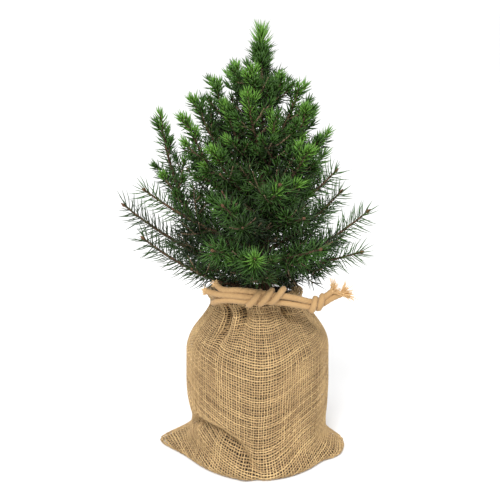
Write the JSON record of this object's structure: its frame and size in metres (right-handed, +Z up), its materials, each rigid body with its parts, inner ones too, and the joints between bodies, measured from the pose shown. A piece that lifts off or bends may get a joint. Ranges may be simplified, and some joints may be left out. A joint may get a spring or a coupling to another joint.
{
  "type": "spruce sapling with root ball in a burlap sack",
  "caption": "Young bushy spruce with a whole trunk and needled limbs, standing on its root ball in a burlap sack closed by a knotted drawstring.",
  "frame": {"origin": "the middle of the sack's flat underside, on the ground", "axes": "+Z up along the trunk, -Y towards the front, where the drawstring is knotted, +X to the right as seen from the front"},
  "size_m": [0.2557, 0.2141, 0.4254],
  "materials": {
    "needles": "waxy spruce needles, dark green with brighter young tips",
    "bark": "thin flaking bark, matte, yellow-brown on young twigs",
    "burlap": "open plain-weave jute, matte",
    "cord": "soft twisted jute and cotton cord, matte",
    "soil": "dark damp soil held by roots"
  },
  "bodies": {
    "root": {"bough_back_low": "bark", "bough_back_low_left": "bark", "bough_back_low_right": "bark", "bough_back_mid_left": "bark", "bough_back_mid_right": "bark", "bough_front_low": "bark", "bough_front_low_left": "bark", "bough_front_low_right": "bark", "bough_left_long": "bark", "bough_left_low": "bark", "bough_left_mid": "bark", "bough_left_tall": "bark", "bough_right_long": "bark", "bough_right_low": "bark", "drawstring": "cord", "mass_back_crest": "needles", "mass_back_fill_right": "needles", "mass_back_low": "needles", "mass_back_low_left": "needles", "mass_back_low_right": "needles", "mass_back_mid": "needles", "mass_back_mid_left": "needles", "mass_back_mid_right": "needles", "mass_back_upper": "needles", "mass_back_upper_left": "needles", "mass_back_upper_right": "needles", "mass_crest_back": "needles", "mass_crest_front": "needles", "mass_crest_left": "needles", "mass_crest_right": "needles", "mass_front_fill_left": "needles", "mass_front_fill_right": "needles", "mass_front_high_left": "needles", "mass_front_high_right": "needles", "mass_front_left": "needles", "mass_front_low": "needles", "mass_front_low_left": "needles", "mass_front_low_right": "needles", "mass_front_mid": "needles", "mass_front_right": "needles", "mass_front_upper": "needles", "mass_leader": "needles", "mass_left_crest": "needles", "mass_left_inner": "needles", "mass_left_long": "needles", "mass_left_low": "needles", "mass_left_mid": "needles", "mass_left_tall": "needles", "mass_left_top": "needles", "mass_right_crest": "needles", "mass_right_inner": "needles", "mass_right_long": "needles", "mass_right_low": "needles", "mass_right_mid": "needles", "mass_right_top": "needles", "mass_right_upper": "needles", "root_ball": "soil", "sack": "burlap", "trunk": "bark"}
  },
  "joints": []
}
